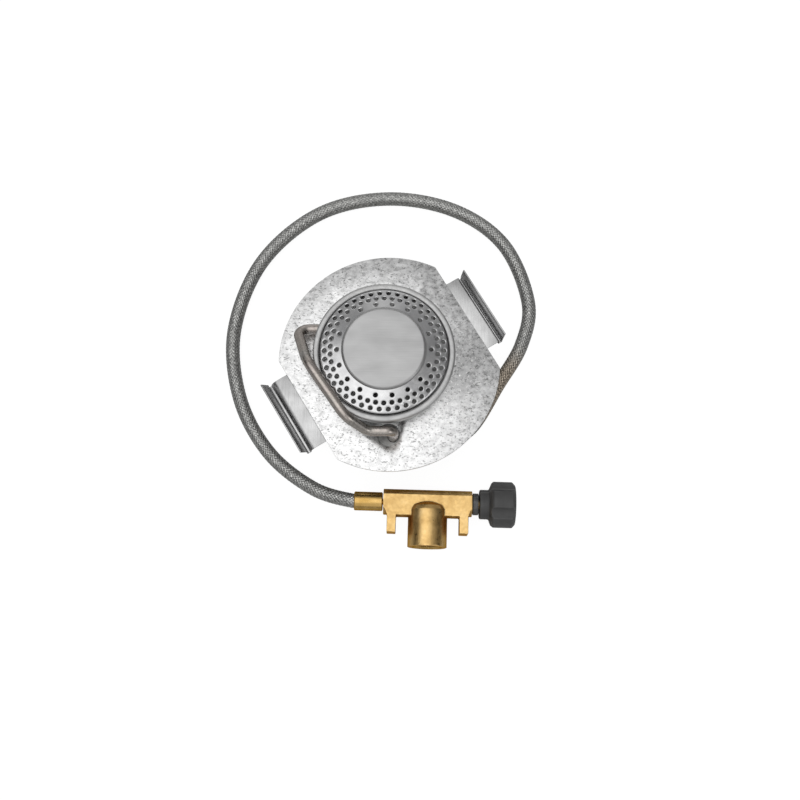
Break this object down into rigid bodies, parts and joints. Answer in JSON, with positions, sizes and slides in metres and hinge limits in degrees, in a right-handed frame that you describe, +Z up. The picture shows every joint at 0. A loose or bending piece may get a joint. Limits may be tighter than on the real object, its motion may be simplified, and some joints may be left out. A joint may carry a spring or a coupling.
{
  "type": "canister stove",
  "caption": "Gas burner head on a round sheet plate with spring clips and a preheat tube, joined by a braided hose to a brass canister valve with a knob.",
  "frame": {"origin": "on the burner's vertical axis, at the flat underside of the jet holder", "axes": "+Z up through the burner cap, +X towards the knob end of the valve, -Y towards the valve from the burner"},
  "size_m": [0.1353, 0.1599, 0.045],
  "materials": {
    "burner_cap": "satin",
    "flame_ring": "polished, perforated",
    "burner_bowl": "spun, polished rim",
    "mixing_tube": "satin",
    "bowl_lock_ring": "machined",
    "jet_holder": "machined",
    "jet_nozzle": "machined",
    "preheat_tube": "dull, heat tinted",
    "preheat_nut_jet": "machined",
    "preheat_nut_inlet": "dark, machined",
    "inlet_connector": "machined",
    "mounting_plate": "spangled zinc coat",
    "spring_clip_right": "bright spring strip",
    "spring_clip_left": "bright spring strip",
    "hose_braid": "woven wire",
    "hose_liner": "smooth",
    "hose_ferrule_burner": "swaged",
    "hose_ferrule_valve": "swaged",
    "hose_nipple_burner": "machined",
    "hose_nipple_valve": "machined",
    "valve_body": "forged and machined",
    "canister_seal": "matte",
    "valve_filter": "sintered",
    "depressor_pin": "machined",
    "gland_nut": "black",
    "valve_spindle": "machined",
    "spindle_o_ring": "matte",
    "valve_knob": "moulded"
  },
  "bodies": {
    "burner": {"burner_cap": "burner_cap", "flame_ring": "flame_ring", "burner_bowl": "burner_bowl", "mixing_tube": "mixing_tube", "bowl_lock_ring": "bowl_lock_ring", "jet_holder": "jet_holder", "jet_nozzle": "jet_nozzle", "preheat_tube": "preheat_tube", "preheat_nut_jet": "preheat_nut_jet", "preheat_nut_inlet": "preheat_nut_inlet", "inlet_connector": "inlet_connector", "mounting_plate": "mounting_plate", "hose_ferrule_burner": "hose_ferrule_burner", "hose_nipple_burner": "hose_nipple_burner", "hose_braid_burner_end": "hose_braid", "hose_liner_burner_end": "hose_liner"},
    "clip_right": {"spring_clip_right": "spring_clip_right"},
    "clip_left": {"spring_clip_left": "spring_clip_left"},
    "hose_middle": {"hose_braid_middle": "hose_braid", "hose_liner_middle": "hose_liner"},
    "hose_valve_end": {"hose_braid_valve_end": "hose_braid", "hose_liner_valve_end": "hose_liner"},
    "valve": {"hose_ferrule_valve": "hose_ferrule_valve", "hose_nipple_valve": "hose_nipple_valve", "valve_body": "valve_body", "canister_seal": "canister_seal", "valve_filter": "valve_filter", "depressor_pin": "depressor_pin", "gland_nut": "gland_nut"},
    "o_ring": {"spindle_o_ring": "spindle_o_ring"},
    "spindle": {"valve_spindle": "valve_spindle", "valve_knob": "valve_knob"}
  },
  "joints": [
    {"name": "clip_right_flex", "type": "hinge", "parent": "burner", "child": "clip_right", "pos_m": [0.02866, 0.01602, 0.022], "axis": [-0.515, 0.8572, 0], "range_deg": [0, 4], "stiffness_Nm_per_rad": 0.2},
    {"name": "clip_left_flex", "type": "hinge", "parent": "burner", "child": "clip_left", "pos_m": [-0.0256, -0.01658, 0.022], "axis": [0.515, -0.8572, 0], "range_deg": [0, 4], "stiffness_Nm_per_rad": 0.2},
    {"name": "hose_swing", "type": "hinge", "parent": "burner", "child": "hose_middle", "pos_m": [0, 0.0812, 0.0032], "axis": [0, 0, 1], "range_deg": [-14, 4], "stiffness_Nm_per_rad": 0.02},
    {"name": "hose_lift", "type": "hinge", "parent": "hose_middle", "child": "hose_valve_end", "pos_m": [-0.0658, 0.02, 0.0032], "axis": [-1, 0, 0], "range_deg": [0, 15], "stiffness_Nm_per_rad": 0.02},
    {"name": "hose_twist", "type": "hinge", "parent": "hose_valve_end", "child": "valve", "pos_m": [0, -0.0564, 0.0096], "axis": [0.9996, -0.0297, 0], "range_deg": [-90, 90], "stiffness_Nm_per_rad": 0.01},
    {"name": "spindle_travel", "type": "slide", "parent": "valve", "child": "o_ring", "axis": [0.9996, -0.0297, 0], "range_m": [0, 0.0012]},
    {"name": "knob_turn", "type": "hinge", "parent": "o_ring", "child": "spindle", "pos_m": [0.01999, -0.05699, 0.0096], "axis": [0.9996, -0.0297, 0], "range_deg": [0, 540]}
  ],
  "couplings": [
    {"joint": "knob_turn", "follows": "spindle_travel", "rad_per_m": 7854}
  ]
}
